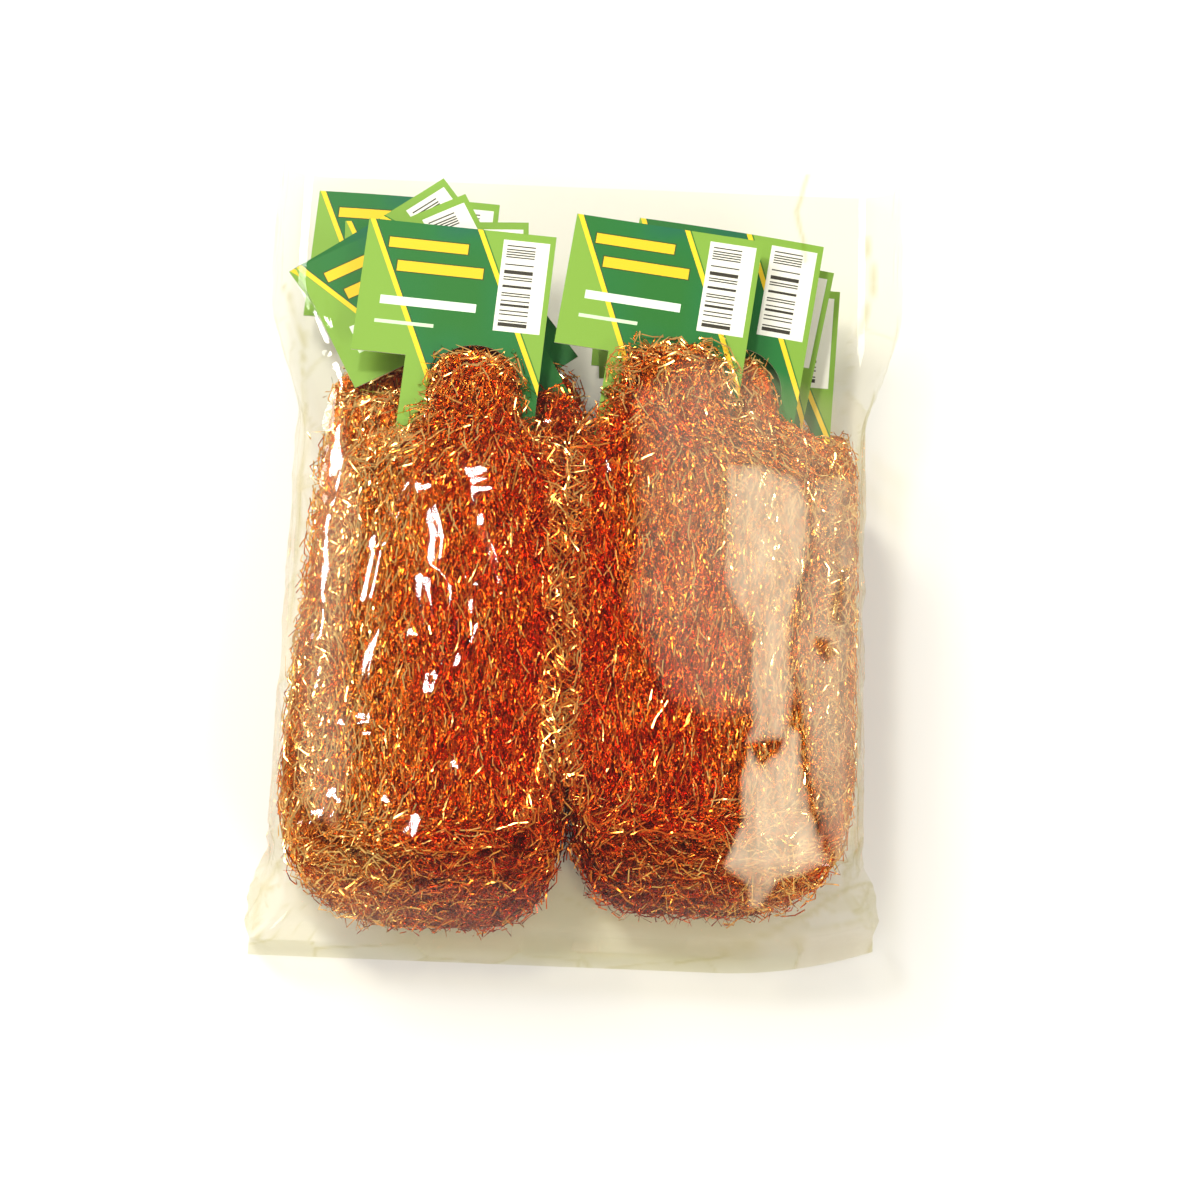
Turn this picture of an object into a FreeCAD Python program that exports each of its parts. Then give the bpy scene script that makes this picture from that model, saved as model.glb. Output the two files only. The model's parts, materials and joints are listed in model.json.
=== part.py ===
"""A poly bag of carded copper scouring pads, lying on its back.

Twelve knitted copper pads lie in two columns of six layers. Each pad is a flattened
sleeve, gathered into pleats, whose neck is pulled through the round hole of its own die-cut
card, so that the card's lower bar is caught between the pad's front and rear leaves.
Millimetres. X runs across the bag, +Y towards its open mouth, +Z up from the table.
"""
import FreeCAD
import Part
import math
import os

from FreeCAD import Vector

# Film of the bag
film = 0.4
bag_length = 307.0
hem_length = 6.5
hem_half_width = 111.0
bag_half_width = 102.2
mouth_half_width = 115.0
flare_start_y = 36.0
flare_end_y = 92.0
mouth_slant = 18.0
end_run = 19.0
end_stations = 7
end_first_angle = 4.0
corner_weld = 5.0
flank_roundness = 0.27
film_steps = 6

# Pile of pads
pad_thickness = 9.3
layer_gap = 0.45
film_gap = 0.4
flank_gap = 0.6
tail_gap = 1.2
right_column_short = 8.0
left_column_taper = 9.0

# Pad plan
tail_round_share = 0.75
fold_round = 13.0
neck_length = 5.0
dome_half_width = 20.0
neck_thickness = 8.6
edge_roundness = 0.45
pad_steps = 2
pleats = 5
pleat_slope = 0.19

# Printed card
card_thickness = 0.4
card_width = 69.0
card_height = 88.0
step_width = 19.9
step_depth = 52.6
hole_diameter = 34.0
hole_from_left = 45.75
hole_from_top = 63.0
bight_gap = 0.9
slit_gap = 0.35
slit_margin = 5.0

# Each pad, from the table up: inner edge from the bag's middle, neck x, neck y, card's turn in degrees,
# shoulder length
left_column = [
    (1.5, -44.0, 66.0, 4.0, 14.0),
    (1.5, -61.0, 76.0, -3.0, 14.0),
    (1.5, -44.0, 62.0, 2.0, 14.0),
    (1.5, -36.0, 73.0, 37.0, 14.0),
    (1.5, -37.5, 60.0, 28.0, 16.0),
    (12.5, -39.5, 44.5, -4.0, 30.0),
]
right_column = [
    (1.5, 48.0, 64.0, -2.0, 9.0),
    (1.5, 52.0, 60.0, 3.0, 9.0),
    (1.5, 68.0, 40.0, -3.0, 18.0),
    (1.5, 57.5, 46.5, -10.0, 18.0),
    (1.5, 55.0, 52.0, -8.0, 24.0),
    (5.0, 33.0, 48.0, -7.0, 30.0),
]

# Worked out from the sizes above
layers = len(left_column)
bag_height = 2 * (film + film_gap) + layers * pad_thickness + (layers - 1) * layer_gap
foot_y = -bag_length / 2
mouth_y = bag_length / 2
end_y = foot_y + hem_length
full_y = end_y + end_run
hole_radius = hole_diameter / 2
bight_radius = hole_radius - bight_gap
slit_radius = math.hypot(hole_from_left, step_depth - hole_from_top) + slit_margin


def flat_section(y, x_centre, half_width, z_centre, thickness, roundness, steps, valleys=0):
    """A closed section across the part, its corners rounded in steps and its faces flat or pleated."""
    radius = roundness * thickness
    reach = half_width - radius
    rise = thickness / 2 - radius
    corners = []
    for side_x, side_z, start in ((1, -1, -90), (1, 1, 0), (-1, 1, 90), (-1, -1, 180)):
        for step in range(steps + 1):
            angle = math.radians(start + 90 * step / steps)
            x = x_centre + side_x * reach + radius * math.cos(angle)
            z = z_centre + side_z * rise + radius * math.sin(angle)
            corners.append(Vector(x, y, z))
        if side_x == side_z:
            for fold in range(1, 2 * valleys):
                x = x_centre + side_x * reach * (1 - fold / valleys)
                depth = pleat_slope * reach / valleys if fold % 2 else 0
                corners.append(Vector(x, y, z_centre + side_z * (thickness / 2 - depth)))
    return Part.makePolygon(corners + corners[:1])


def pad_section(y, x_centre, half_width, z_centre, thickness):
    """A section across a pad, whose knitted leaves are gathered into pleats above and below."""
    return flat_section(y, x_centre, half_width, z_centre, thickness, edge_roundness, pad_steps, pleats)


def panelled(sections):
    """A ruled loft through like sections, each of its flat panels a true plane."""
    panels = []
    for face in Part.makeLoft(sections, True, True).Faces:
        corners = [vertex.Point for vertex in face.OuterWire.OrderedVertexes]
        panels.append(Part.Face(Part.makePolygon(corners + corners[:1])))
    return Part.makeSolid(Part.makeShell(panels))


def bag_space(inset):
    """The space that the bag encloses, drawn in from the film's outer face by inset."""
    sections = []
    for station in range(end_stations):
        share = station / (end_stations - 1)
        angle = math.radians(end_first_angle + share * (90 - end_first_angle))
        rise = math.sin(angle)
        height = bag_height * rise
        y = full_y - end_run * math.cos(angle) + inset * (1 - share)
        width = bag_half_width + (hem_half_width - bag_half_width) * math.cos(angle)
        half = width - inset * (1 + corner_weld * (1 - share))
        space = height - 2 * inset
        sections.append(flat_section(y, 0, half, height / 2, space, flank_roundness, film_steps))
    for y, width in (
        (flare_start_y, bag_half_width),
        (flare_end_y, mouth_half_width),
        (mouth_y + inset, mouth_half_width),
    ):
        half = width - inset
        space = bag_height - 2 * inset
        sections.append(flat_section(y, 0, half, bag_height / 2, space, flank_roundness, film_steps))
    return panelled(sections)


def film_bag():
    """The bag: a lofted film shell, welded flat at its foot, with a slanting open mouth."""
    hem_size = 2 * hem_half_width
    hem = Part.makeBox(hem_size, hem_length + film, 2 * film, Vector(-hem_half_width, foot_y, 0))
    shell = bag_space(0).fuse(hem).cut(bag_space(film))
    corners = [
        Vector(-bag_length, foot_y - film, -film),
        Vector(-bag_length, mouth_y, -film),
        Vector(-bag_length, mouth_y, 0),
        Vector(-bag_length, mouth_y - mouth_slant, bag_height),
        Vector(-bag_length, mouth_y - mouth_slant, bag_height + film),
        Vector(-bag_length, foot_y - film, bag_height + film),
    ]
    side = Part.Face(Part.makePolygon(corners + corners[:1]))
    return shell.common(side.extrude(Vector(2 * bag_length, 0, 0)))


def layer_middle(layer):
    """Height of a layer's middle plane above the table."""
    return film + film_gap + pad_thickness / 2 + layer * (pad_thickness + layer_gap)


def layer_reach(layer):
    """How far a layer's pads may reach sideways inside the bag's round flank."""
    corner = flank_roundness * bag_height
    flank = corner - film - flank_gap - pad_thickness / 2
    offset = max(abs(layer_middle(layer) - bag_height / 2) - bag_height / 2 + corner, 0)
    swell = math.sqrt(max(flank ** 2 - offset ** 2, 0))
    return bag_half_width - corner + swell + pad_thickness / 2


def layer_tail(layer):
    """Where a layer's pads end, inside the bag's rounded foot."""
    top = layer_middle(layer) + pad_thickness / 2
    return full_y - end_run * math.sqrt(1 - (top / bag_height) ** 2) + tail_gap


def round_off(distance, radius):
    """How much of a quarter round's radius is missing at a distance from its end."""
    share = max(1 - distance / radius, 0)
    return radius * (1 - math.sqrt(1 - share ** 2))


def scouring_pad(side, layer, inner, neck_x, neck_y, shoulder_length, head_half):
    """One pad: a pleated, flattened sleeve, round at its fold, with shoulders, neck and slit."""
    middle = layer_middle(layer)
    outer = layer_reach(layer)
    body_x = side * (inner + outer) / 2
    body_half = (outer - inner) / 2
    corner_round = tail_round_share * body_half
    tail_y = layer_tail(layer) + (right_column_short if side > 0 else 0)
    drawn_in = left_column_taper if side < 0 else 0
    chest_x = body_x - side * drawn_in / 2
    chest_half = body_half - drawn_in / 2
    low_neck_y = neck_y - neck_length

    sections = []
    for share in (0.02, 0.1, 0.28, 0.58, 1.0):
        distance = share * corner_round
        half = body_half - round_off(distance, corner_round)
        thickness = pad_thickness * (1 - round_off(distance, fold_round) / fold_round)
        y = tail_y + distance
        sections.append(pad_section(y, body_x, half, middle, thickness))
    for share in (0.0, 0.2, 0.4, 0.6, 0.8, 1.0):
        blend = (1 - math.cos(math.pi * share)) / 2
        half = chest_half + (head_half - chest_half) * blend
        x = chest_x + (neck_x - chest_x) * blend
        thickness = pad_thickness + (neck_thickness - pad_thickness) * blend
        y = low_neck_y - (1 - share) * shoulder_length
        sections.append(pad_section(y, x, half, middle, thickness))
    for share in (0.0, 0.45, 0.78, 0.95):
        half = head_half * math.sqrt(1 - share ** 2)
        thickness = neck_thickness * math.sqrt(1 - share ** 4)
        y = neck_y + share * head_half
        sections.append(pad_section(y, neck_x, half, middle, thickness))
    pad = panelled(sections)

    slit_height = card_thickness + 2 * slit_gap
    slit_foot = Vector(neck_x, neck_y, middle - slit_height / 2)
    slit = Part.makeCylinder(slit_radius, slit_height, slit_foot)
    return pad.cut(slit.cut(Part.makeCylinder(bight_radius, slit_height, slit_foot)))


def printed_card(layer, neck_x, neck_y, turn):
    """A die-cut card: square above, stepped in at the left below, with a round hole."""
    left = -hole_from_left
    right = left + card_width
    top = hole_from_top
    bottom = top - card_height
    step_x = left + step_width
    step_y = top - step_depth
    corners = [
        Vector(left, top, 0),
        Vector(left, step_y, 0),
        Vector(step_x, step_y, 0),
        Vector(step_x, bottom, 0),
        Vector(right, bottom, 0),
        Vector(right, top, 0),
    ]
    blank = Part.Face(Part.makePolygon(corners + corners[:1])).extrude(Vector(0, 0, card_thickness))
    card = blank.cut(Part.makeCylinder(hole_radius, card_thickness))
    card.rotate(Vector(0, 0, 0), Vector(0, 0, 1), turn)
    card.translate(Vector(neck_x, neck_y, layer_middle(layer) - card_thickness / 2))
    return card


os.makedirs("parts", exist_ok=True)
film_bag().exportStep("parts/film_bag.step")
number = 0
for side, column in ((-1, left_column), (1, right_column)):
    for layer, (inner, neck_x, neck_y, turn, shoulder_length) in enumerate(column):
        number += 1
        bulges = side > 0 and layer == layers - 1
        head_half = dome_half_width if bulges else bight_radius
        pad = scouring_pad(side, layer, inner, neck_x, neck_y, shoulder_length, head_half)
        pad.exportStep(f"parts/copper_pad_{number:02d}.step")
        card = printed_card(layer, neck_x, neck_y, turn)
        card.exportStep(f"parts/hang_card_{number:02d}.step")
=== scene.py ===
"""Looks of a clear bag of knitted copper scouring pads, each hung in the hole of its printed card."""
import bmesh
import bpy
import json
import math
import numpy as np
from functools import partial
from mathutils import Matrix, Vector, noise


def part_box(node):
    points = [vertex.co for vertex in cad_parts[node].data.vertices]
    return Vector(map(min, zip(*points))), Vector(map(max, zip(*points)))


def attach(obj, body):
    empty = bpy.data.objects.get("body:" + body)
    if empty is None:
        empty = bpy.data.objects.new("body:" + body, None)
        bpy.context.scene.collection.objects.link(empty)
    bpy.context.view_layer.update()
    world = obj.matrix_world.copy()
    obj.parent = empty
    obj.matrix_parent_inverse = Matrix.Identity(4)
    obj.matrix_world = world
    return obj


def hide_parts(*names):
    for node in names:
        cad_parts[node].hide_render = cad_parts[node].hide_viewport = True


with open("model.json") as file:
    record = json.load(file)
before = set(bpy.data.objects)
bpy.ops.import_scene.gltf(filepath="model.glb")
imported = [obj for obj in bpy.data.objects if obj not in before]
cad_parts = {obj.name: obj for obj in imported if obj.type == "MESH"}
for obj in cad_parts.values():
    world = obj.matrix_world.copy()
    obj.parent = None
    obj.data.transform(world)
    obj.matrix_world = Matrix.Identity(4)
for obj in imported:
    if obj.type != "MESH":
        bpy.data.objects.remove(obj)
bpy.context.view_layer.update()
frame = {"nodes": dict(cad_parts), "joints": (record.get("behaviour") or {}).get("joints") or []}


# Copper pads
# Each pad is a flat sleeve knitted from bright copper ribbon, doubled over at its tail. Its neck is
# gathered and pulled through the round hole of its own card, so that the ribbon fans out below.
pads_in_column = 6
neck_length = 0.005
neck_half_width = 0.016
shoulder_lengths = (0.014, 0.014, 0.014, 0.014, 0.016, 0.030, 0.009, 0.009, 0.018, 0.018, 0.024, 0.030)
fold_depth = 0.020
body_grid = 0.0026
body_inset = 0.0019
lump_height = 0.0009
ribbon_width = 0.00054
ribbon_length = 0.0090
ribbon_bends = 4
ribbon_wave = 0.0052
ribbon_reach = 0.0095
# Loops to a square metre on the top pads and on the pads below them
loops_on_show = 1700000
loops_between = 600000
# How loose the knit is: on a pad's sides, at its tail, beside the pad above and towards the middle
loose_side = 0.0046
loose_top_side = 0.0085
loose_tail = 0.0062
loose_step = 0.0105
loose_inner = 0.0065
loose_top_inner = 0.012
loose_valley = 0.028
valley_half_width = 0.016
# The two top pads swell towards each other between these places along the valley
valley_swell = 0.0060
valley_spread = 0.024
valley_foot = (-0.128, -0.090)
valley_head = (0.020, 0.050)
copper_dark = (0.86, 0.15, 0.018, 1)
copper_red = (0.98, 0.34, 0.055, 1)
copper_gold = (1.0, 0.60, 0.21, 1)
# Space under the bag's film, which presses stray ribbon flat
bag_half_width = 0.1022
flank_roundness = 0.27
film_low, film_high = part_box("film_bag")
film_height = film_high.z - film_low.z
film_lift = 0.0022
film_gap = 0.0009
corner_ease = 0.0006
pressed_depth = 0.0016


def add_node(tree, kind, inputs=(), **settings):
    """A node of a tree, with its settings and with its inputs linked or set in pairs of socket and value."""
    made = tree.nodes.new(kind)
    for name, value in settings.items():
        setattr(made, name, value)
    for socket, value in inputs:
        if isinstance(value, bpy.types.NodeSocket):
            tree.links.new(value, made.inputs[socket])
        else:
            made.inputs[socket].default_value = value
    return made


def calculate(tree, operation, *values):
    """What a Math node makes of numbers or sockets."""
    return add_node(tree, "ShaderNodeMath", enumerate(values), operation=operation).outputs[0]


def noise_pattern(tree, place, scale, detail):
    """The grey of a noise pattern at a place."""
    inputs = [("Vector", place), ("Scale", scale), ("Detail", detail)]
    return add_node(tree, "ShaderNodeTexNoise", inputs).outputs["Fac"]


def new_material(name):
    """A material with its tree and its Principled shader."""
    material = bpy.data.materials.new(name)
    material.use_nodes = True
    return material, material.node_tree, material.node_tree.nodes["Principled BSDF"]


def colour_ramp(tree, factor, stops):
    """A colour ramp through (place, colour) stops."""
    ramp = add_node(tree, "ShaderNodeValToRGB", [("Fac", factor)])
    elements = ramp.color_ramp.elements
    while len(elements) < len(stops):
        elements.new(0.5)
    for element, (place, colour) in zip(elements, stops):
        element.position = place
        element.color = colour
    return ramp.outputs["Color"]


def copper_ribbon_material():
    material, tree, shader = new_material("copper_ribbon")
    place = add_node(tree, "ShaderNodeTexCoord").outputs["Object"]
    shade = add_node(tree, "ShaderNodeAttribute", attribute_name="shade").outputs["Fac"]
    drift = calculate(tree, "MULTIPLY_ADD", noise_pattern(tree, place, 42.0, 1.0), 0.7, -0.35)
    shade = calculate(tree, "ADD", shade, drift)
    # Colour from dark red through copper to gold, by the ribbon's random tone with its painted light and
    # shade, and a slow drift
    colour = colour_ramp(tree, shade, [(0.05, copper_dark), (0.45, copper_red), (0.95, copper_gold)])
    tree.links.new(colour, shader.inputs["Base Color"])
    grain = noise_pattern(tree, place, 900.0, 2.0)
    rough = add_node(tree, "ShaderNodeMapRange", [(0, grain), (3, 0.08), (4, 0.22)])
    tree.links.new(rough.outputs[0], shader.inputs["Roughness"])
    shader.inputs["Metallic"].default_value = 1.0
    return material


def painted_shade_depth_material():
    material, tree, shader = new_material("knit_depth_painted_shade")
    place = add_node(tree, "ShaderNodeTexCoord").outputs["Object"]
    stretched = add_node(tree, "ShaderNodeMapping", [("Vector", place), ("Scale", (900.0, 220.0, 900.0))])
    strands = noise_pattern(tree, stretched.outputs[0], 1.0, 3.0)
    painted_light = add_node(tree, "ShaderNodeAttribute", attribute_name="painted_light").outputs["Fac"]
    level = calculate(tree, "MULTIPLY_ADD", painted_light, 0.35, strands)
    # Painted shade: the depth runs from near black-red up to copper, streaked along the pad and lighter where
    # the painted light lies
    colour = colour_ramp(tree, level, [
        (0.32, (0.09, 0.008, 0.001, 1)), (0.55, (0.42, 0.055, 0.008, 1)), (0.75, (0.85, 0.24, 0.045, 1))])
    tree.links.new(colour, shader.inputs["Base Color"])
    bump = add_node(tree, "ShaderNodeBump", [("Height", strands), ("Distance", 0.0006)])
    tree.links.new(bump.outputs[0], shader.inputs["Normal"])
    shader.inputs["Metallic"].default_value = 0.9
    shader.inputs["Roughness"].default_value = 0.5
    return material


def knitted_loops_tree(ribbon_finish, shade_depth_finish):
    """Strews wavy ribbons over a pad's body, along its grain, and keeps the body below them as their depth,
    painted dark for the shade deep in the knit.
    """
    tree = bpy.data.node_groups.new("knitted_loops", "GeometryNodeTree")
    maths = partial(calculate, tree)
    tree.interface.new_socket("Geometry", in_out="INPUT", socket_type="NodeSocketGeometry")
    sizes = {"Density": "Float", "Length": "Float", "Width": "Float", "Bends": "Int", "Seed": "Int"}
    for name, kind in sizes.items():
        tree.interface.new_socket(name, in_out="INPUT", socket_type="NodeSocket" + kind)
    tree.interface.new_socket("Geometry", in_out="OUTPUT", socket_type="NodeSocketGeometry")
    given = tree.nodes.new("NodeGroupInput").outputs
    body, seed = given["Geometry"], given["Seed"]

    def chance(low, high, step):
        """A random number for each element, from its own seed."""
        own = maths("ADD", seed, float(step))
        return add_node(tree, "FunctionNodeRandomValue", [(2, low), (3, high), ("Seed", own)]).outputs[1]

    def stored(name, kind="FLOAT"):
        return add_node(tree, "GeometryNodeInputNamedAttribute", [("Name", name)], data_type=kind).outputs[0]

    def with_value(ribbons, name, value):
        """The ribbons, each with a value of its own."""
        inputs = [("Geometry", ribbons), ("Name", name), ("Value", value)]
        kept = add_node(tree, "GeometryNodeStoreNamedAttribute", inputs, data_type="FLOAT", domain="INSTANCE")
        return kept.outputs[0]

    def vectors(operation, *inputs):
        return add_node(tree, "ShaderNodeVectorMath", inputs, operation=operation).outputs[0]

    # Points where loops start, thick where the pad shows
    density = maths("MULTIPLY", given["Density"], stored("show"))
    spread = add_node(tree, "GeometryNodeDistributePointsOnFaces", [
        ("Mesh", body), ("Density", density), ("Seed", seed)])
    facing = add_node(tree, "FunctionNodeAxesToRotation", [
        ("Primary Axis", spread.outputs["Normal"]), ("Secondary Axis", stored("grain", "FLOAT_VECTOR"))],
        primary_axis="Z", secondary_axis="Y")
    lean = maths("MULTIPLY", chance(-1.0, 1.0, 1), chance(0.1, 0.8, 2))
    lean = maths("MULTIPLY", lean, maths("ADD", stored("tangle"), 1.0))
    spin = add_node(tree, "ShaderNodeCombineXYZ", [("Z", lean)])
    spin = add_node(tree, "FunctionNodeEulerToRotation", [(0, spin.outputs[0])])
    turned = add_node(tree, "FunctionNodeRotateRotation", [
        ("Rotation", facing.outputs[0]), ("Rotate By", spin.outputs[0])], rotation_space="LOCAL")

    # One straight ribbon on each point
    line = add_node(tree, "GeometryNodeCurvePrimitiveLine", [("Start", (0, -0.5, 0)), ("End", (0, 0.5, 0))])
    line = add_node(tree, "GeometryNodeResampleCurve", [
        ("Curve", line.outputs[0]), ("Count", given["Bends"])])
    size = maths("MULTIPLY", given["Length"], chance(0.55, 1.3, 3))
    ribbons = add_node(tree, "GeometryNodeInstanceOnPoints", [
        ("Points", spread.outputs["Points"]), ("Instance", line.outputs[0]),
        ("Rotation", turned.outputs[0]), ("Scale", size)]).outputs[0]
    # Each ribbon's colour level: a random tone plus the painted light and shade laid on the body below it
    ribbons = with_value(ribbons, "shade", maths("ADD", chance(0.0, 1.0, 4), stored("painted_light")))
    ribbons = with_value(ribbons, "lift", maths("POWER", chance(0.0, 1.0, 5), 2.2))
    curves = add_node(tree, "GeometryNodeRealizeInstances", [("Geometry", ribbons)]).outputs[0]

    # Waved sideways, then laid back on the body at its own height
    place = add_node(tree, "GeometryNodeInputPosition").outputs[0]
    phase = maths("MULTIPLY", stored("shade"), 90.0)

    def drifting(scale, detail, output):
        """Noise along the ribbons that differs from one to the next."""
        inputs = [("Vector", place), ("W", phase), ("Scale", scale), ("Detail", detail)]
        return add_node(tree, "ShaderNodeTexNoise", inputs, noise_dimensions="4D").outputs[output]
    waves = vectors("SUBTRACT", (0, drifting(190.0, 1.0, "Color")), (1, (0.5, 0.5, 0.5)))
    waves = vectors("SCALE", (0, waves), ("Scale", ribbon_wave))
    waved = vectors("ADD", (0, place), (1, waves))
    nearest = add_node(tree, "GeometryNodeProximity", [
        (0, body), ("Sample Position", waved)], target_element="FACES")

    def on_body(value, kind):
        """A value of the body where it is nearest to the waved ribbon."""
        inputs = [("Mesh", body), ("Value", value), ("Sample Position", waved)]
        return add_node(tree, "GeometryNodeSampleNearestSurface", inputs, data_type=kind).outputs[0]
    out = on_body(add_node(tree, "GeometryNodeInputNormal").outputs[0], "FLOAT_VECTOR")
    ripple = maths("MULTIPLY", maths("ADD", stored("lift"), 0.15), drifting(210.0, 2.0, "Fac"))
    rise = maths("MULTIPLY", maths("MULTIPLY", on_body(stored("loose"), "FLOAT"), ripple), 1.5)
    raised = vectors("SCALE", (0, out), ("Scale", maths("MINIMUM", rise, ribbon_reach)))
    raised = vectors("ADD", (0, nearest.outputs["Position"]), (1, raised))
    laid = add_node(tree, "GeometryNodeSetPosition", [("Geometry", curves), ("Position", raised)])
    laid = add_node(tree, "GeometryNodeSetCurveNormal", [
        ("Curve", laid.outputs[0]), ("Normal", out)], mode="FREE")
    twist = maths("MULTIPLY", maths("SUBTRACT", drifting(260.0, 2.0, "Fac"), 0.5), 3.4)
    whirl = maths("FRACT", maths("MULTIPLY", stored("shade"), 37.0))
    twist = maths("ADD", twist, maths("MULTIPLY", maths("SUBTRACT", whirl, 0.5), 2.0))
    # Where the painted light is strong, the ribbons also turn a little towards the lamp on the left
    twist = maths("SUBTRACT", twist, maths("MULTIPLY", maths("MAXIMUM", stored("painted_light"), 0.0), 0.6))
    laid = add_node(tree, "GeometryNodeSetCurveTilt", [("Curve", laid.outputs[0]), ("Tilt", twist)])

    # Flat ribbon along each line
    half = maths("MULTIPLY", given["Width"], 0.5)
    left = add_node(tree, "ShaderNodeCombineXYZ", [("X", maths("MULTIPLY", half, -1.0))]).outputs[0]
    right = add_node(tree, "ShaderNodeCombineXYZ", [("X", half)]).outputs[0]
    flat = add_node(tree, "GeometryNodeCurvePrimitiveLine", [("Start", left), ("End", right)])
    strips = add_node(tree, "GeometryNodeCurveToMesh", [
        ("Curve", laid.outputs[0]), ("Profile Curve", flat.outputs[0])])
    strips = add_node(tree, "GeometryNodeSetShadeSmooth", [
        ("Geometry", strips.outputs[0]), ("Shade Smooth", True)])
    strips = add_node(tree, "GeometryNodeRealizeInstances", [("Geometry", strips.outputs[0])])
    strips = add_node(tree, "GeometryNodeSetMaterial", [
        ("Geometry", strips.outputs[0]), ("Material", ribbon_finish)])
    depth = add_node(tree, "GeometryNodeSetMaterial", [("Geometry", body), ("Material", shade_depth_finish)])
    both = tree.nodes.new("GeometryNodeJoinGeometry")
    tree.links.new(depth.outputs[0], both.inputs[0])
    tree.links.new(strips.outputs[0], both.inputs[0])
    tree.links.new(both.outputs[0], tree.nodes.new("NodeGroupOutput").inputs[0])
    return tree


def plain_mesh(obj, name):
    """What an object's modifiers make, as a mesh of its own; the object is removed."""
    made = bpy.data.meshes.new_from_object(obj.evaluated_get(bpy.context.evaluated_depsgraph_get()))
    made.name = name
    bpy.data.objects.remove(obj)
    return made


def shown_object(name, mesh):
    obj = bpy.data.objects.new(name, mesh)
    bpy.context.scene.collection.objects.link(obj)
    return obj


def soft_step(value, low, high):
    share = np.clip((value - low) / (high - low), 0, 1)
    return share * share * (3 - 2 * share)


def pad_outline(number):
    """A pad's outline from the frame, rounded, drawn in by the ribbon's depth, and lumpy."""
    source = bmesh.new()
    source.from_mesh(frame["nodes"][f"copper_pad_{number:02d}"].data)
    bmesh.ops.remove_doubles(source, verts=source.verts, dist=1e-6)
    mesh = bpy.data.meshes.new("pad_outline")
    source.to_mesh(mesh)
    source.free()
    outline = shown_object("pad_outline", mesh)
    remesh = outline.modifiers.new("even", "REMESH")
    remesh.mode = "VOXEL"
    remesh.voxel_size = body_grid
    smooth = outline.modifiers.new("soft", "SMOOTH")
    smooth.iterations = 5
    body = plain_mesh(outline, f"pad_body_{number:02d}")
    for vertex, normal in zip(body.vertices, [vertex.normal.copy() for vertex in body.vertices]):
        spot = vertex.co + Vector((number * 0.37, 0, 0))
        lump = 0.4 * noise.noise(spot * 45) + 0.7 * noise.noise(spot * 120)
        vertex.co += normal * (lump_height * min(lump, 0.5) - body_inset)
    return body


def swell_to_valley(body, place, side, inner_edge):
    """Swells a top pad towards the other, so that their knit nearly closes the valley between the columns."""
    near = soft_step(np.abs(place[:, 0] - inner_edge), valley_spread, 0.0)
    along = soft_step(place[:, 1], *valley_foot) * (1 - soft_step(place[:, 1], *valley_head))
    place[:, 0] -= side * valley_swell * near * along
    body.vertices.foreach_set("co", place.astype(np.float32).ravel())
    body.update()


def ribbon_grain(number, neck, place, low, high):
    """The way that the ribbon runs, and how far it strays from it: along the sleeve, gathered at the
    shoulders, and across at the tail and at the neck's top."""
    body_x, body_half = (low.x + high.x) / 2, (high.x - low.x) / 2

    def gathered(y):
        share = soft_step(y, neck.y - neck_length - shoulder_lengths[number - 1], neck.y - neck_length)
        return body_x + (neck.x - body_x) * share, body_half + (neck_half_width - body_half) * share
    middle, half = gathered(place[:, 1])
    step = 0.001
    next_middle, next_half = gathered(place[:, 1] + step)
    across = np.clip((place[:, 0] - middle) / half, -1, 1)
    slope = (next_middle - middle + across * (next_half - half)) / step
    grain = np.stack([slope, np.ones(len(place)), np.zeros(len(place))], 1)
    turn = 1 - soft_step(place[:, 1] - low.y, 0.35 * fold_depth, fold_depth)
    turn = np.maximum(turn, soft_step(place[:, 1] - neck.y, 0.002, 0.012))
    grain = grain * (1 - turn)[:, None] + np.outer(turn, [1.0, 0.12, 0])
    tangle = 1.8 * np.maximum(turn, 0.5 * soft_step(place[:, 1], -0.02, 0.03))
    return grain, tangle


def ribbon_cover(number, neck, place, facing):
    """How thick the loops lie and how loose they are: thin where another pad covers them, and loose on the
    pad's sides, at its tail and beside the pad above, where they stand up and fill the step."""
    layer = (number - 1) % pads_in_column
    on_top = layer == pads_in_column - 1
    covered = np.zeros(len(place), bool)
    if not on_top:
        upper_low, upper_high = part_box(f"copper_pad_{number + 1:02d}")
        covered = (place[:, 0] > upper_low.x + 0.01) & (place[:, 0] < upper_high.x - 0.01)
        covered &= (place[:, 1] > upper_low.y + 0.012) & (place[:, 1] < neck.y - 0.055)
    covered &= facing[:, 2] > 0.3
    if layer > 0:
        covered |= facing[:, 2] < -0.3
    show = np.where(covered, 0.35, 1.0)
    loose = np.where(np.abs(facing[:, 2]) > 0.6, body_inset, loose_side)
    loose = np.where(facing[:, 1] < -0.35, loose_tail, loose)
    sideways = np.abs(facing[:, 0]) > 0.4
    if on_top:
        loose = np.where(sideways, loose_top_side, loose)
    inner = sideways & (np.abs(place[:, 0]) < 0.02)
    loose = np.where(inner, loose_top_inner if on_top else loose_inner, loose)
    show = np.where(inner, 1.7, show)
    loose = np.where(facing[:, 2] < -0.2, 0.6 * body_inset, loose)
    if not on_top:
        beside = np.maximum(upper_low.x - place[:, 0], place[:, 0] - upper_high.x)
        beside = np.maximum(beside, upper_low.y + 0.004 - place[:, 1])
        stands = (facing[:, 2] > 0.6) & (beside > -0.001)
        loose = np.where(stands, np.clip(loose_step - 0.8 * beside, body_inset, loose_step), loose)
        between = stands & (np.abs(place[:, 0]) < valley_half_width)
        loose = np.where(between, loose_valley, loose)
        show = np.where(stands, np.where(between, 2.2, 1.5), show)
    return show, loose


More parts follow.
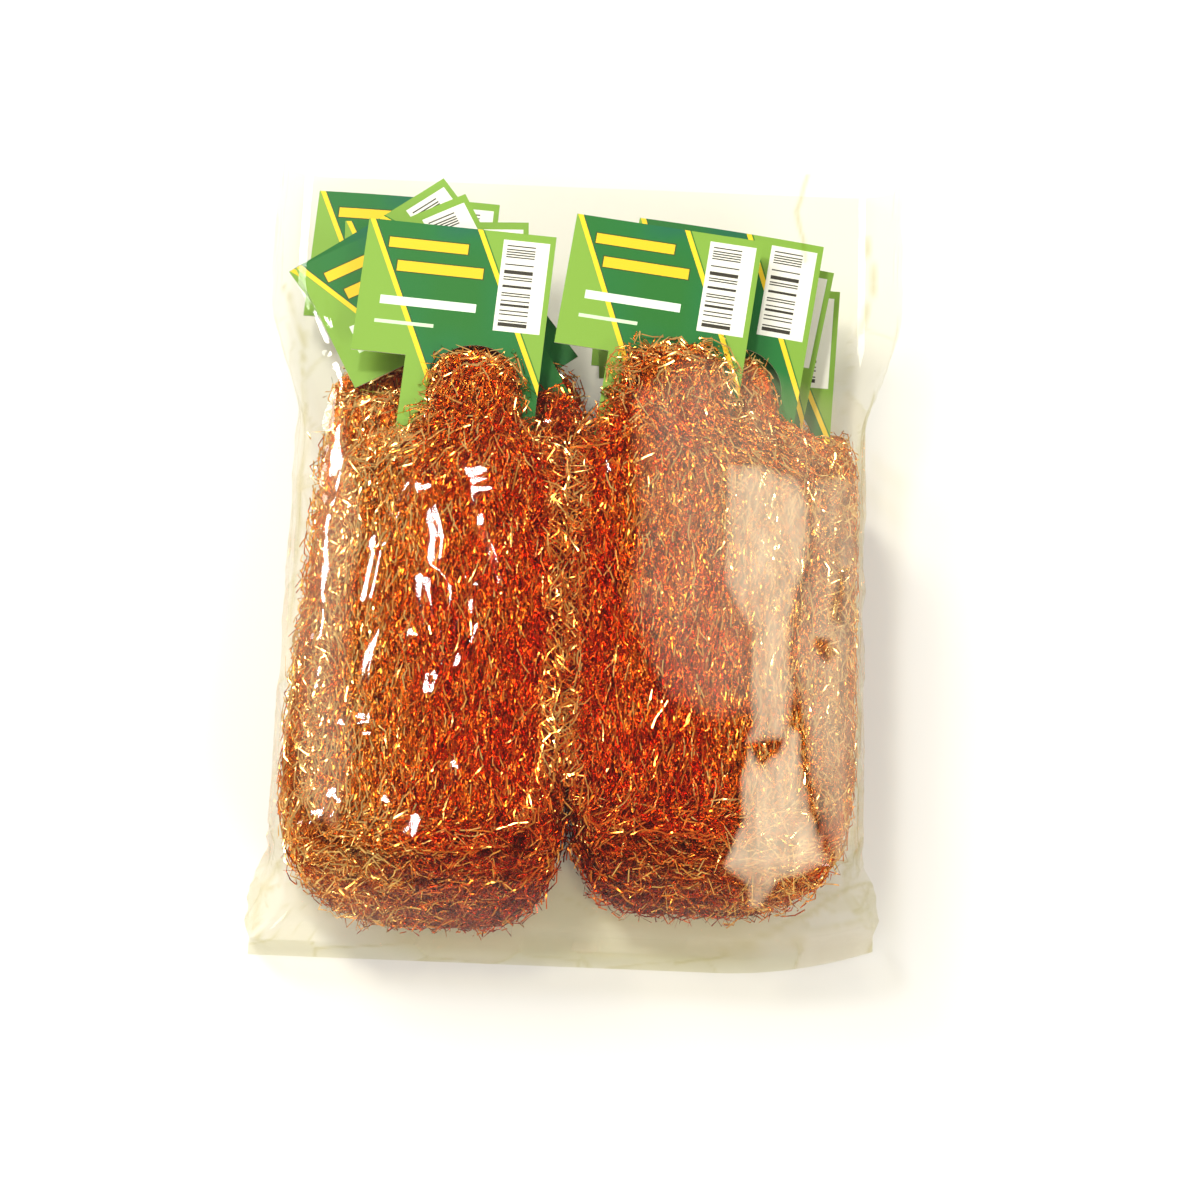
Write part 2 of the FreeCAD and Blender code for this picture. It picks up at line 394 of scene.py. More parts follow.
def painted_ribbon_light(place, facing):
    """Painted light and shade in the ribbon's colour: it goes to gold towards the flanks and the necks and in
    the right column's upper half, where more light falls, and to dark red in the valley and at the tail,
    where shade falls.
    """
    x, y = place[:, 0], place[:, 1]
    painted_light = 0.72 * soft_step(np.abs(x), 0.040, 0.080) + 0.14 * soft_step(y, -0.03, 0.02)
    painted_light += 0.35 * soft_step(x, 0.01, 0.03) * soft_step(y, -0.07, -0.02)
    painted_light -= 0.10 * (np.abs(x) < valley_half_width) + 0.35 * soft_step(-facing[:, 1], 0.2, 0.7)
    return painted_light


def pad_body(number, neck):
    """A pad's body below its ribbon, with what the ribbon needs to know at each place."""
    body = pad_outline(number)
    place = np.array([vertex.co for vertex in body.vertices])
    facing = np.array([vertex.normal for vertex in body.vertices])
    low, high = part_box(f"copper_pad_{number:02d}")
    if number % pads_in_column == 0:
        side = 1 if low.x + high.x > 0 else -1
        swell_to_valley(body, place, side, low.x if side > 0 else high.x)
    grain, tangle = ribbon_grain(number, neck, place, low, high)
    show, loose = ribbon_cover(number, neck, place, facing)
    body.attributes.new("grain", "FLOAT_VECTOR", "POINT").data.foreach_set(
        "vector", grain.astype(np.float32).ravel())
    values = {"show": show, "loose": loose, "painted_light": painted_ribbon_light(place, facing), "tangle": tangle}
    for name, value in values.items():
        body.attributes.new(name, "FLOAT", "POINT").data.foreach_set("value", value.astype(np.float32))
    return body


def press_under_film(mesh):
    """Presses ribbon that would stand through the bag's film flat against its inner side."""
    spots = np.empty(3 * len(mesh.vertices), np.float32)
    mesh.vertices.foreach_get("co", spots)
    spots = spots.reshape(-1, 3)
    stop = flank_roundness * film_height - corner_ease
    core_x = bag_half_width - film_gap - stop
    core_top = film_height + film_lift - film_gap - stop
    out_x = np.maximum(np.abs(spots[:, 0]) - core_x, 0)
    out_z = np.maximum(spots[:, 2] - core_top, 0)
    out = np.hypot(out_x, out_z) + 1e-9
    past = np.maximum(out - stop + pressed_depth, 0)
    share = np.minimum(out, stop - pressed_depth * np.exp(-past / pressed_depth)) / out
    spots[:, 0] -= np.sign(spots[:, 0]) * out_x * (1 - share)
    spots[:, 2] -= out_z * (1 - share)
    mesh.vertices.foreach_set("co", spots.ravel())
    mesh.update()


knitted_loops = knitted_loops_tree(copper_ribbon_material(), painted_shade_depth_material())
loop_inputs = {}
for item in knitted_loops.interface.items_tree:
    if item.in_out == "INPUT":
        loop_inputs[item.name] = item.identifier
hole_centre = {}
for joint in frame["joints"]:
    if joint["type"] == "hinge":
        hole_centre[joint["child"]] = Vector(joint["pos_m"])
for number in range(1, 2 * pads_in_column + 1):
    pad = shown_object("pad_in_work", pad_body(number, hole_centre[f"card_{number:02d}"]))
    loops = pad.modifiers.new("knitted_loops", "NODES")
    loops.node_group = knitted_loops
    loops[loop_inputs["Density"]] = float(loops_between if number % pads_in_column else loops_on_show)
    loops[loop_inputs["Length"]] = ribbon_length
    loops[loop_inputs["Width"]] = ribbon_width
    loops[loop_inputs["Bends"]] = ribbon_bends
    loops[loop_inputs["Seed"]] = number * 17
    pad = shown_object(f"knitted_pad_{number:02d}", plain_mesh(pad, f"knitted_pad_{number:02d}"))
    press_under_film(pad.data)
    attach(pad, f"pad_{number:02d}")
    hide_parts(f"copper_pad_{number:02d}")


# Printed cards
# Each card is die-cut from semi-gloss board, printed green on its front and left grey-white behind.
# A pad's neck fills its hole, and the card's lower bar is caught between the pad's two leaves.
card_width = 0.069
card_height = 0.088
card_thickness = 0.0004
card_step = (0.0199, 0.0526)
card_hole = (0.04575, 0.063, 0.017)
card_turn = (4, -3, 2, 37, 28, -4, -2, 3, -3, -10, -8, -7)
card_curl = 0.0011
card_cuts = 18
hole_sides = 64
light_green = (0.21, 0.39, 0.045, 1)
yellow = (0.93, 0.62, 0.018, 1)


def print_material():
    material, tree, shader = new_material("green_print")
    maths = partial(calculate, tree)
    spot = add_node(tree, "ShaderNodeUVMap", uv_map="card").outputs[0]
    spot = add_node(tree, "ShaderNodeSeparateXYZ", [(0, spot)])
    # Places on the print in millimetres from the card's upper left corner
    across = maths("MULTIPLY", spot.outputs["X"], 1000 * card_width)
    down = maths("MULTIPLY", maths("SUBTRACT", 1.0, spot.outputs["Y"]), 1000 * card_height)

    def within(value, low, high):
        return maths("MULTIPLY", maths("GREATER_THAN", value, low), maths("LESS_THAN", value, high))

    def panel(x0, y0, x1, y1):
        return maths("MULTIPLY", within(across, x0, x1), within(down, y0, y1))

    def painted(under, mask, colour):
        inputs = [(0, mask), (6, under), (7, colour)]
        return add_node(tree, "ShaderNodeMix", inputs, data_type="RGBA").outputs[2]
    slant = maths("SUBTRACT", across, maths("MULTIPLY", down, 0.457))
    place = add_node(tree, "ShaderNodeTexCoord").outputs["UV"]
    colour = colour_ramp(tree, noise_pattern(tree, place, 2.2, 1.0), [
        (0.35, (0.012, 0.15, 0.015, 1)), (0.52, (0.008, 0.155, 0.030, 1)), (0.66, (0.003, 0.115, 0.075, 1))])
    colour = painted(colour, maths("LESS_THAN", slant, 1.0), light_green)
    colour = painted(colour, maths("GREATER_THAN", slant, 41.0), light_green)
    colour = painted(colour, within(slant, 2.2, 2.9), (0.02, 0.11, 0.03, 1))
    colour = painted(colour, within(slant, 0.4, 2.3), yellow)
    colour = painted(colour, within(slant, 41.8, 42.5), (0.05, 0.2, 0.02, 1))
    colour = painted(colour, within(slant, 40.0, 41.9), yellow)
    # Plain bars across the print, two yellow with a dark edge and two pale
    for x0, y0, x1, y1 in ((8.5, 6.6, 37.5, 10.6), (12.5, 15.6, 44.0, 19.8)):
        colour = painted(colour, panel(x0 - 0.5, y0 - 0.5, x1 + 0.5, y1 + 0.5), (0.03, 0.09, 0.01, 1))
        colour = painted(colour, panel(x0, y0, x1, y1), (0.90, 0.55, 0.012, 1))
    colour = painted(colour, panel(8.0, 30.0, 43.0, 33.4), (0.80, 0.88, 0.78, 1))
    colour = painted(colour, panel(7.0, 39.6, 28.5, 41.0), (0.62, 0.80, 0.55, 1))
    # White panel of stacked dark bars, thin and thick
    colour = painted(colour, panel(50.0, 3.0, 67.0, 39.5), (0.86, 0.85, 0.77, 1))
    rows = maths("FLOOR", maths("MULTIPLY", down, 2.0), 0.0)
    dark = add_node(tree, "ShaderNodeTexWhiteNoise", [("W", rows)], noise_dimensions="1D").outputs["Value"]
    bars = maths("MULTIPLY", maths("GREATER_THAN", dark, 0.54), panel(51.5, 5.0, 62.0, 37.5))
    colour = painted(colour, bars, (0.035, 0.03, 0.02, 1))
    tree.links.new(colour, shader.inputs["Base Color"])
    fibre = noise_pattern(tree, place, 160.0, 3.0)
    rough = add_node(tree, "ShaderNodeMapRange", [(0, fibre), (3, 0.45), (4, 0.62)])
    tree.links.new(rough.outputs[0], shader.inputs["Roughness"])
    shader.inputs["Specular IOR Level"].default_value = 0.25
    bump = add_node(tree, "ShaderNodeBump", [("Height", fibre), ("Strength", 0.12), ("Distance", 0.0003)])
    tree.links.new(bump.outputs[0], shader.inputs["Normal"])
    return material


def board_material():
    material, tree, shader = new_material("bare_board")
    place = add_node(tree, "ShaderNodeTexCoord").outputs["Object"]
    fibre = noise_pattern(tree, place, 700.0, 4.0)
    colour = colour_ramp(tree, fibre, [(0.3, (0.52, 0.56, 0.42, 1)), (0.7, (0.72, 0.74, 0.62, 1))])
    tree.links.new(colour, shader.inputs["Base Color"])
    shader.inputs["Roughness"].default_value = 0.8
    return material


def card_mesh(number, finishes):
    """A card with its hole, its thickness and its print's map, cut into small faces and curled a little."""
    hole_x, hole_y, hole_radius = card_hole
    step_x, step_y = card_step
    corners = [
        (0, 0), (0, step_y), (step_x, step_y),
        (step_x, card_height), (card_width, card_height), (card_width, 0)]
    card = bmesh.new()
    rim = [card.verts.new((x - hole_x, hole_y - y, 0)) for x, y in corners]
    hole = []
    for step in range(hole_sides):
        angle = 2 * math.pi * step / hole_sides
        hole.append(card.verts.new((hole_radius * math.cos(angle), hole_radius * math.sin(angle), 0)))
    edges = []
    for loop in (rim, hole):
        edges += [card.edges.new((loop[i], loop[(i + 1) % len(loop)])) for i in range(len(loop))]
    bmesh.ops.triangle_fill(card, use_beauty=True, edges=edges)
    spans = [((1, 0, 0), -hole_x, card_width - hole_x), ((0, 1, 0), hole_y - card_height, hole_y)]
    for axis, low, high in spans:
        for step in range(1, card_cuts):
            spot = Vector(axis) * (low + (high - low) * step / card_cuts)
            whole = card.verts[:] + card.edges[:] + card.faces[:]
            bmesh.ops.bisect_plane(card, geom=whole, plane_co=spot, plane_no=axis)
    bmesh.ops.recalc_face_normals(card, faces=card.faces)
    if card.faces[:][0].normal.z < 0:
        bmesh.ops.reverse_faces(card, faces=card.faces)
    front = card.faces[:]
    back = bmesh.ops.extrude_face_region(card, geom=front)["geom"]
    upper = [item for item in back if isinstance(item, bmesh.types.BMVert)]
    bmesh.ops.translate(card, verts=upper, vec=(0, 0, card_thickness))
    bmesh.ops.recalc_face_normals(card, faces=card.faces)
    uv = card.loops.layers.uv.new("card")
    for face in card.faces:
        face.material_index = 0 if face.normal.z > 0.9 else 1
        for loop in face.loops:
            spot = loop.vert.co
            loop[uv].uv = ((spot.x + hole_x) / card_width, (spot.y - hole_y + card_height) / card_height)
    for vertex in card.verts:
        x, y = vertex.co.x / card_width, vertex.co.y / card_height
        bow = card_curl * (math.sin(number * 2.1) * x * x * 4 + 1.5 * math.cos(number * 1.3) * max(y, 0) ** 2)
        vertex.co.z += bow - card_thickness / 2
    mesh = bpy.data.meshes.new(f"printed_card_{number:02d}")
    card.to_mesh(mesh)
    card.free()
    mesh.transform(Matrix.Rotation(math.radians(card_turn[number - 1]), 4, "Z"))
    mesh.transform(Matrix.Translation(hole_centre[f"card_{number:02d}"]))
    for finish in finishes:
        mesh.materials.append(finish)
    return mesh


card_finishes = (print_material(), board_material())
for number in range(1, 2 * pads_in_column + 1):
    card = shown_object(f"printed_card_{number:02d}", card_mesh(number, card_finishes))
    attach(card, f"card_{number:02d}")
    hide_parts(f"hang_card_{number:02d}")


# Clear bag
# The bag is one thin tube of clear soft film, welded flat across its foot and open at its mouth.
# It clings to the pile and puffs and creases over it. A veil of painted reflection lies on it, strongest on
# the right, and painted shade darkens its tint along its folds and across the pile's foot.
film_slack = 0.001
painted_veil_strength = 0.46
hem_drawn_up = 0.010
hem_half_width = 0.111
mouth_half_width = 0.115
hem_length = 0.0065
foot_run = 0.019
flare_y = (0.036, 0.092)
mouth_slant = 0.018
film_inset = 0.0002
film_seed = 7
stations = 290
top_steps, corner_steps, side_steps, bottom_steps = 206, 12, 10, 56
# Creases over the pile that mirror the lamp: points in millimetres, and half the width of each one's light
crease_slope = 0.165
creases = [
    ([(-59.1, 3.5), (-65.6, -11.5), (-69.5, -23.3), (-72.4, -40.6)], 0.6),
    ([(-65.5, -13.8), (-69.1, -19.6)], 1.2),
    ([(-55.5, 3.3), (-51.2, 2.0)], 2.4),
    ([(-52.8, -1.5), (-49.2, -15.7), (-49.5, -24.3), (-45.1, -34.2), (-45.0, -43.5)], 1.1),
    ([(-36.8, 10.6), (-31.6, 13.1), (-28.5, 7.9), (-35.0, 2.7)], 3.0),
    ([(-36.4, 3.0), (-33.7, -10.1), (-28.5, -23.1), (-23.5, -40.0)], 0.7),
    ([(-31.1, 10.8), (-25.9, -3.4), (-20.3, -10.0)], 1.5),
    ([(-23.6, 25.7), (-25.7, 16.4), (-17.3, 3.0)], 1.3),
    ([(-52.9, -32.3), (-51.9, -38.9), (-50.7, -47.0)], 1.1),
    ([(-50.1, -32.9), (-47.9, -40.3), (-47.3, -46.1)], 0.9),
    ([(-39.7, -30.3), (-36.5, -38.3), (-36.2, -45.7)], 0.6),
    ([(-35.7, -33.4), (-30.9, -38.8), (-24.7, -44.4)], 1.1),
    ([(-36.1, -54.9), (-33.7, -46.3), (-30.1, -49.1), (-28.8, -53.8)], 0.8),
    ([(-55.3, -52.7), (-52.3, -55.9), (-49.5, -64.6), (-45.6, -64.8), (-45.7, -57.1), (-47.0, -50.9)], 0.7),
    ([(-41.7, -46.6), (-41.1, -51.0)], 1.0),
    ([(-41.5, -63.5), (-39.6, -60.5)], 1.0),
    ([(-48.9, -68.2), (-50.3, -74.4)], 1.4),
    ([(-11.3, 30.5), (-4.1, 26.5), (3.9, 21.9)], 1.2),
    ([(-8.7, 18.7), (-4.6, 12.7)], 0.6),
    ([(9.0, 18.3), (10.7, 12.2), (11.8, 19.5)], 0.5),
    ([(-86.6, 25.6), (-84.6, 10.4), (-87.2, -4.9), (-83.3, -11.1), (-72.8, -4.3)], 0.5),
    ([(-61.4, -79.6), (-68.1, -83.5), (-66.2, -86.3)], 0.6),
    ([(-39.3, -101.0), (-40.0, -107.4)], 1.1),
    ([(-40.0, -107.4), (-41.3, -121.6)], 0.5),
    ([(-38.3, -107.3), (-38.9, -122.9)], 0.5),
    ([(-62.2, -114.0), (-57.5, -112.7), (-51.7, -112.5)], 0.8),
    ([(-79.9, -114.7), (-82.8, -122.6)], 1.7),
    ([(-50.9, -120.2), (-54.0, -126.4)], 1.4),
    ([(-78.6, -86.5), (-70.1, -85.4)], 0.5),
    ([(-76.7, -90.0), (-63.6, -89.8)], 0.5),
]
# Sharp folds beside the pile, where the film is slack, as dark lines of painted shade: points in millimetres
painted_fold_lines = [
    [(-108, -147), (-98, -138), (-89, -129)],
    [(-1, -140), (14, -144), (35, -144), (56, -142), (77, -138), (95, -128)],
    [(41, -150), (64, -147), (85, -143), (106, -135)],
    [(95, -130), (100, -117), (108, -109)],
    [(104, 52), (101, 33), (99, 6), (97, -35), (99, -73), (96, -106), (99, -131)],
    [(79, 131), (75, 116), (79, 96)],
    [(100, 107), (103, 89), (98, 68)],
    [(-108, 80), (-99, 56), (-97, 24), (-98, -11), (-96, -60), (-94, -110)],
]
# Panes of painted reflection, a pale veil laid into the film's colour: strength, and fading at the edge and
# outline in millimetres
painted_veils = [
    (0.26, 8.0, [(16, 43), (20, -9), (17, -38), (33, -73), (51, -81), (61, -79), (100, -69), (102, 13),
            (96, 43), (70, 53), (38, 60)]),
    (0.25, 4.0, [(-85, 32), (-75, -10), (-77, -55), (-73, -98), (-78, -126), (-92, -113), (-94, -77),
            (-95, -41), (-93, 16)]),
    (0.62, 3.0, [(82, 12), (101, 17), (101, -69), (100, -119), (92, -132), (84, -110), (80, -81),
            (77, -48), (81, -24)]),
    (0.90, 2.2, [(52, 16), (52, -29), (61, -47), (62, -80), (60, -88), (74, -86), (77, -71), (76, -41),
            (81, -22), (82, 1), (77, 12), (64, 16)]),
    (1.0, 1.6, [(61, -88), (59, -100), (60, -114), (54, -131), (62, -136), (63, -142), (68, -142),
            (73, -136), (80, -134), (90, -130), (83, -110), (79, -83), (74, -80), (71, -90), (66, -94)]),
    (0.0, 0.9, [(92, -18), (89, -34), (90, -42), (93, -42), (94, -21)]),
    (0.0, 0.9, [(83, -46), (83, -51), (87, -59), (91, -53), (89, -47)]),
]


def film_size(y):
    """Half width and height of the bag at a place along it."""
    end = film_low.y + hem_length
    full = end + foot_run
    if y <= end:
        return hem_half_width, 0.0009
    if y < full:
        share = (full - y) / foot_run
        rise = math.sqrt(max(1 - share * share, 0))
        return bag_half_width + (hem_half_width - bag_half_width) * share, max(film_height * rise, 0.0009)
    flare = float(soft_step(y, *flare_y))
    return bag_half_width + (mouth_half_width - bag_half_width) * flare, film_height


def film_section(half, height):
    """Points round the bag from the top's left end, with the way out at each."""
    radius = flank_roundness * height
    reach, rise = half - radius, height / 2 - radius
    points = [(-reach + 2 * reach * i / top_steps, height / 2, 0, 1) for i in range(top_steps)]

    def corner(side_x, side_z, start):
        for i in range(corner_steps):
            angle = math.radians(start - 90 * i / corner_steps)
            ox, oz = math.cos(angle), math.sin(angle)
            points.append((side_x * reach + radius * ox, side_z * rise + radius * oz, ox, oz))
    corner(1, 1, 90)
    points += [(half, rise - 2 * rise * i / side_steps, 1, 0) for i in range(side_steps)]
    corner(1, -1, 0)
    points += [(reach - 2 * reach * i / bottom_steps, -height / 2, 0, -1) for i in range(bottom_steps)]
    corner(-1, -1, -90)
    points += [(-half, -rise + 2 * rise * i / side_steps, -1, 0) for i in range(side_steps)]
    corner(-1, 1, 180)
    return points


def from_line(x, y, points):
    """Least distance from places to a bent line."""
    best = np.full(x.shape, 1e9)
    for (ax, ay), (bx, by) in zip(points, points[1:]):
        run = np.array([bx - ax, by - ay])
        along = np.clip(((x - ax) * run[0] + (y - ay) * run[1]) / (run @ run), 0, 1)
        best = np.minimum(best, np.hypot(x - ax - along * run[0], y - ay - along * run[1]))
    return best


def inside_outline(x, y, points):
    """Which places lie inside a closed outline."""
    found = np.zeros(x.shape, bool)
    for (ax, ay), (bx, by) in zip(points, points[1:] + points[:1]):
        crosses = (ay > y) != (by > y)
        with np.errstate(divide="ignore", invalid="ignore"):
            found ^= crosses & (x < (bx - ax) * (y - ay) / (by - ay) + ax)
    return found


def film_mesh(finish):
    """The film as one skin round the pile, with its puffs, creases and hem, painted fold shade and panes of
    painted reflection.
    """
    places, outs = [], []
    for station in range(stations + 1):
        y = film_low.y + (film_high.y - film_low.y) * (station / stations) ** 1.12
        half, height = film_size(y)
        for x, z, ox, oz in film_section(half - film_inset, height - 2 * film_inset):
            z += height / 2
            slant = mouth_slant * z / film_height * float(soft_step(y, 0.02, film_high.y))
            places.append((x, y - slant, z))
            outs.append((ox, 0, oz))
    places, outs = np.array(places), np.array(outs)
    rounds = len(places) // (stations + 1)
    x, y, z = places.T
    upward = np.clip(outs[:, 2], 0, 1)
    sideways = np.abs(outs[:, 0])
    puff = np.zeros(x.shape)
    ridge = np.zeros(x.shape)
    facet = np.zeros(x.shape)
    tone = np.zeros(x.shape)
    stray = np.zeros((len(x), 3))
    # Without a seed, the vector noise would differ from run to run
    noise.seed_set(film_seed)
    for i, (a, b, c) in enumerate(places):
        across, along = (34, 95) if b < -0.118 else (95, 34)
        wobble = 0.3 * noise.noise((a * 90, b * 90, c * 90))
        near, seeds = noise.voronoi((a * across + wobble, b * along, c * 62))
        facet[i] = near[1] - near[0]
        tone[i] = (seeds[0].x * 91.7 + seeds[0].y * 47.3 + seeds[0].z * 23.9) % 1
        puff[i] = noise.noise((a * 18, b * 10, c * 20)) + 0.12 * noise.noise((a * 70, b * 40, c * 60 + 7))
        crest = (1 - abs(noise.noise((a * 48, b * 15, c * 40 + 11)))) ** 9
        ridge[i] = crest * max(noise.noise((a * 22, b * 22, 5)), 0)
        stray[i] = noise.noise_vector((a * 55, b * 55, 2)) + 0.5 * noise.noise_vector((a * 170, b * 170, 9))
    mx, my = x * 1000 + 1.2 * stray[:, 0], y * 1000 + 1.2 * stray[:, 1]
    fold = np.zeros(x.shape)
    for points, width in creases:
        spread = 2.5 * width + 1.2
        away = from_line(x * 1000 + 0.8 * stray[:, 0] - 0.7 * spread, y * 1000 + 0.8 * stray[:, 1], points)
        crease_height = crease_slope * spread * (1 + 0.2 * stray[:, 2])
        fold = np.maximum(fold, crease_height * np.exp(-(away / spread) ** 2))
    above = soft_step(z, 0.002, 0.02)
    slack = np.maximum(soft_step(mx, 84, 98), 1 - soft_step(my, -138, -122)) * (1 - soft_step(my, 50, 90))
    slack = np.maximum(slack, 0.8 * soft_step(-mx, 82, 94) * (1 - soft_step(my, 50, 90)))
    # Painted shade in the film's tint: on crinkle edges and random facets where it is slack, along the fold
    # lines, and in a band across the pile's foot
    painted_fold_shade = np.maximum(np.exp(-(facet / 0.05) ** 2), 0.6 * (tone * 7.7 % 1)) * slack * 0.7
    foot_shade_band = soft_step(mx, -90, -40) * (1 - soft_step(mx, 60, 90))
    painted_fold_shade = np.maximum(painted_fold_shade, 0.8 * np.exp(-((my + 143) / 9) ** 2) * foot_shade_band)
    for points in painted_fold_lines:
        painted_fold_shade = np.maximum(painted_fold_shade, np.exp(-(from_line(mx, my, points) / 0.8) ** 2))
    swell = (film_lift / film_slack + 0.5 + 0.45 * puff + 0.8 * ridge + fold) * upward
    swell += (0.9 - 2.6 * np.minimum(facet, 0.5)) * np.maximum(sideways, slack)
    skin = places + outs * (film_slack * swell * above)[:, None]
    skin[:, 2] = np.maximum(skin[:, 2], film_inset)
    drawn_up = hem_drawn_up * np.clip((x - 0.055) / 0.056, 0, 1) ** 2
    skin[:, 1] += drawn_up * (1 - soft_step(y, film_low.y, film_low.y + 0.045))
    faces = []
    for station in range(stations):
        for turn in range(rounds):
            a = station * rounds + turn
            b = station * rounds + (turn + 1) % rounds
            faces.append((a, a + rounds, b + rounds, b))
    mesh = bpy.data.meshes.new("bag_film")
    mesh.from_pydata(skin.tolist(), [], faces)
    mesh.polygons.foreach_set("use_smooth", [True] * len(faces))
    # Painted reflection: a pale veil over the panes, and pale sheen painted on some slack facets, kept off
    # the film in front of the foot
    painted_reflection = np.zeros(x.shape)
    for strength, fade, outline in painted_veils:
        covers = 1 - np.exp(-from_line(mx, my, outline + outline[:1]) / fade)
        painted_reflection += np.where(inside_outline(mx, my, outline), covers, 0) * (strength - painted_reflection)
    clear_front = np.where(my < -118, 1 - soft_step(z, 0.012, 0.03), 1)
    painted_reflection = np.maximum(painted_reflection, 0.8 * np.clip(tone - 0.5, 0, 1) * slack * clear_front) * (upward > 0.2)
    for name, values in (("painted_reflection", painted_reflection), ("painted_fold_shade", painted_fold_shade * (outs[:, 2] > -0.5))):
        stored = mesh.attributes.new(name, "FLOAT", "POINT")
        stored.data.foreach_set("value", values.astype(np.float32))
    mesh.materials.append(finish)
    return mesh


def film_material():
    material, tree, shader = new_material("clear_film")
    tree.nodes.remove(shader)
    # Painted reflection: a pale diffuse veil mixed into the clear film where the attribute lies, streaked by
    # a drawn-out cloud
    painted_reflection = add_node(tree, "ShaderNodeAttribute", attribute_name="painted_reflection").outputs["Fac"]
    place = add_node(tree, "ShaderNodeTexCoord").outputs["Object"]
    drawn = add_node(tree, "ShaderNodeMapping", [("Vector", place), ("Scale", (210.0, 55.0, 90.0))])
    cloud = noise_pattern(tree, drawn.outputs[0], 1.0, 3.0)
    cloud = add_node(tree, "ShaderNodeMapRange", [
        (0, cloud), (1, 0.3), (2, 0.7), (3, 0.75), (4, 1.15)]).outputs[0]
    veiled = calculate(tree, "MULTIPLY", calculate(tree, "MULTIPLY", painted_reflection, cloud), painted_veil_strength)
    # Painted shade turns the film's clear tint olive where the fold shade lies
    fold_shade = add_node(tree, "ShaderNodeAttribute", attribute_name="painted_fold_shade").outputs["Fac"]
    tint = colour_ramp(tree, fold_shade, [(0.0, (0.962, 0.958, 0.925, 1)), (1.0, (0.83, 0.80, 0.60, 1))])
    clear = add_node(tree, "ShaderNodeBsdfTransparent", [("Color", tint)])
    veil = add_node(tree, "ShaderNodeBsdfDiffuse", [("Color", (0.94, 0.78, 0.54, 1))])
    body = add_node(tree, "ShaderNodeMixShader", [(0, veiled), (1, clear.outputs[0]), (2, veil.outputs[0])])
    edge = add_node(tree, "ShaderNodeLayerWeight", [("Blend", 0.5)]).outputs["Facing"]
    edge = calculate(tree, "POWER", edge, 4.0)
    sheen = add_node(tree, "ShaderNodeMapRange", [(0, edge), (3, 0.016), (4, 0.4)]).outputs[0]
    gloss = add_node(tree, "ShaderNodeBsdfGlossy", [("Color", (1, 1, 1, 1)), ("Roughness", 0.05)])
    film = add_node(tree, "ShaderNodeMixShader", [(0, sheen), (1, body.outputs[0]), (2, gloss.outputs[0])])
    tree.links.new(film.outputs[0], tree.nodes["Material Output"].inputs["Surface"])
    return material


bag = shown_object("bag_film", film_mesh(film_material()))
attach(bag, "bag")
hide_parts("film_bag")


# Studio
# A pale table under soft light: a broad lamp behind on the left, a small one above it whose light streaks
# the film, a broad one in front on the right, and an even grey-white surround. The camera looks steeply
# down on the pack from its foot.
table_half = 3
table_glow = 0.12
floor_mesh = bpy.data.meshes.new("table")
floor_corners = [(x * table_half, y * table_half, 0) for x, y in ((-1, -1), (1, -1), (1, 1), (-1, 1))]
floor_mesh.from_pydata(floor_corners, [], [(0, 1, 2, 3)])
floor = shown_object("table", floor_mesh)
floor_finish, floor_tree, floor_shader = new_material("pale_table")
floor_shader.inputs["Base Color"].default_value = (0.73, 0.72, 0.67, 1)
floor_shader.inputs["Roughness"].default_value = 0.9
floor_shader.inputs["Specular IOR Level"].default_value = 0.0
path = floor_tree.nodes.new("ShaderNodeLightPath").outputs
seen = calculate(floor_tree, "MAXIMUM", path["Is Camera Ray"], path["Is Glossy Ray"])
seen = calculate(floor_tree, "MAXIMUM", seen, path["Is Transmission Ray"])
floor_shader.inputs["Emission Color"].default_value = (1.0, 0.985, 0.94, 1)
floor_glow = calculate(floor_tree, "MULTIPLY", seen, table_glow)
floor_tree.links.new(floor_glow, floor_shader.inputs["Emission Strength"])
floor_mesh.materials.append(floor_finish)

target = Vector((0, -0.0115, 0.025))


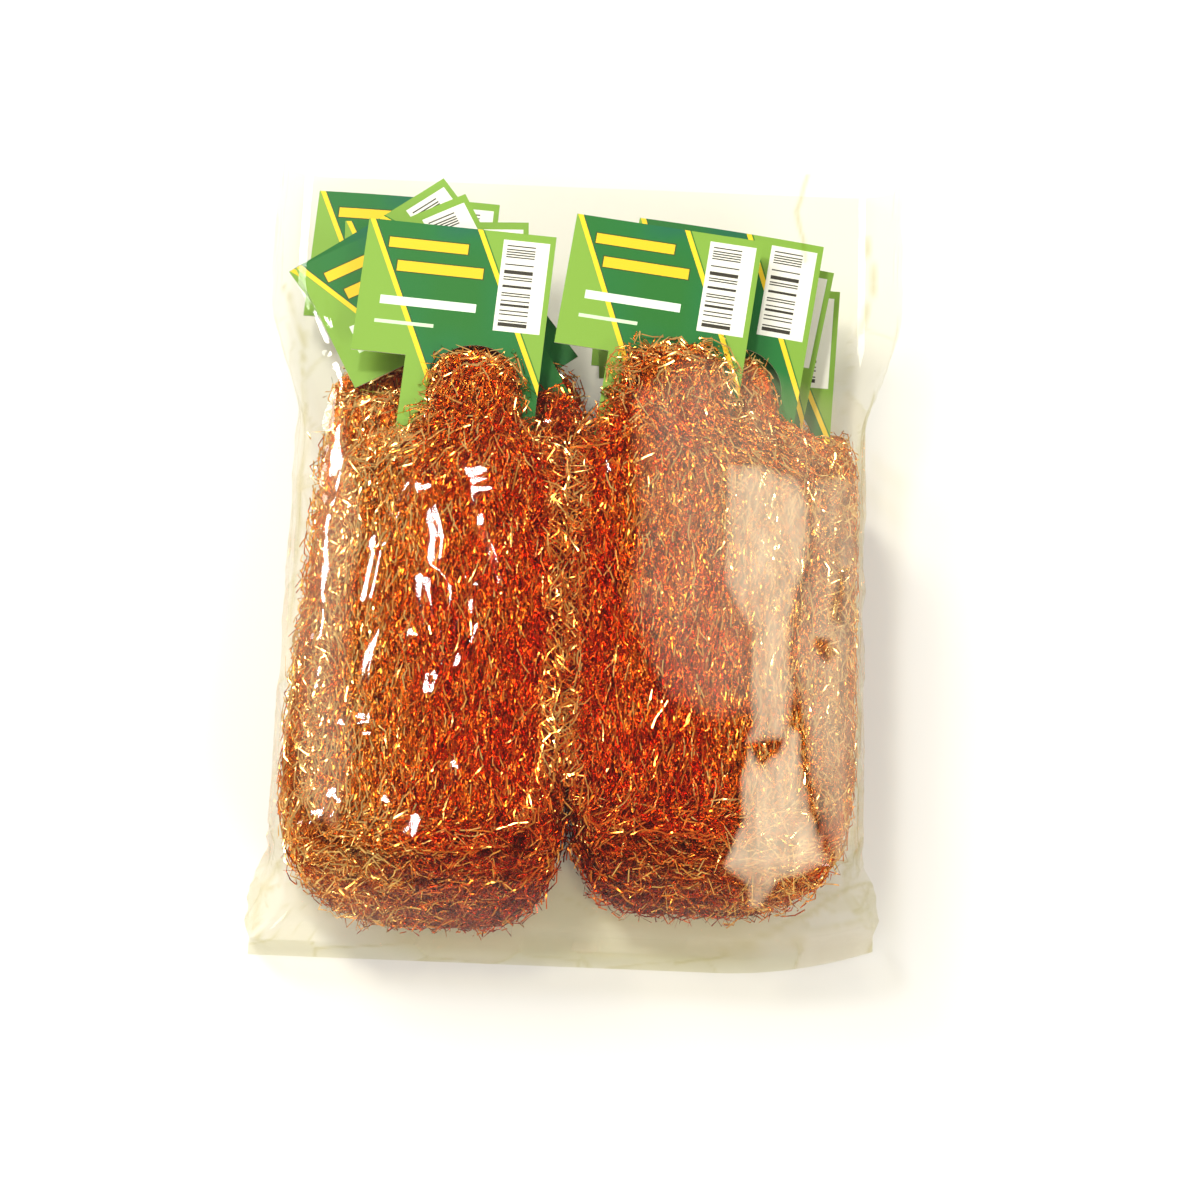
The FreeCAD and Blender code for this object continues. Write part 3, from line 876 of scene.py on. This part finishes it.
def soft_lamp(name, direction, distance, size, power, colour):
    lamp = bpy.data.lights.new(name, "AREA")
    lamp.shape = "DISK"
    lamp.size = size
    lamp.energy = power
    lamp.color = colour
    obj = bpy.data.objects.new(name, lamp)
    bpy.context.scene.collection.objects.link(obj)
    toward = Vector(direction).normalized()
    obj.location = target + toward * distance
    obj.rotation_euler = toward.to_track_quat("Z", "Y").to_euler()


soft_lamp("key_lamp", (-0.50, 0.50, 0.71), 1.4, 0.46, 11.0, (1.0, 0.98, 0.95))
soft_lamp("streak_lamp", (-0.26, 0.34, 0.90), 1.4, 0.20, 8.5, (1.0, 0.99, 0.98))
soft_lamp("front_lamp", (0.45, -0.55, 0.70), 1.6, 0.46, 8.0, (1.0, 0.98, 0.95))
world = bpy.data.worlds.new("studio")
world.use_nodes = True
sky = world.node_tree
aim = add_node(sky, "ShaderNodeSeparateXYZ", [(0, add_node(sky, "ShaderNodeTexCoord").outputs["Generated"])])
ring = colour_ramp(sky, aim.outputs["Z"], [
    (0.0, (0.78, 0.76, 0.73, 1)), (0.72, (0.78, 0.76, 0.73, 1)),
    (0.88, (0.55, 0.54, 0.52, 1)), (1.0, (0.5, 0.49, 0.47, 1))])
sky.links.new(ring, sky.nodes["Background"].inputs["Color"])
sky.nodes["Background"].inputs["Strength"].default_value = 1.0
bpy.context.scene.world = world

camera_elevation = math.radians(70)
camera_roll = math.radians(2.3)
camera_distance = 1.2
camera_data = bpy.data.cameras.new("camera")
camera_data.sensor_width = 36
camera_data.lens = 99.4
camera_data.shift_x = 0.02
camera_data.shift_y = -0.0275
camera_data.clip_start = 0.05
camera_data.clip_end = 20
camera = bpy.data.objects.new("camera", camera_data)
bpy.context.scene.collection.objects.link(camera)
back = Vector((0, -math.cos(camera_elevation), math.sin(camera_elevation)))
camera.location = target + back * camera_distance
level = back.to_track_quat("Z", "Y").to_matrix()
camera.rotation_euler = (level @ Matrix.Rotation(camera_roll, 3, "Z")).to_euler()
bpy.context.scene.camera = camera
bpy.context.scene.view_settings.view_transform = "Standard"
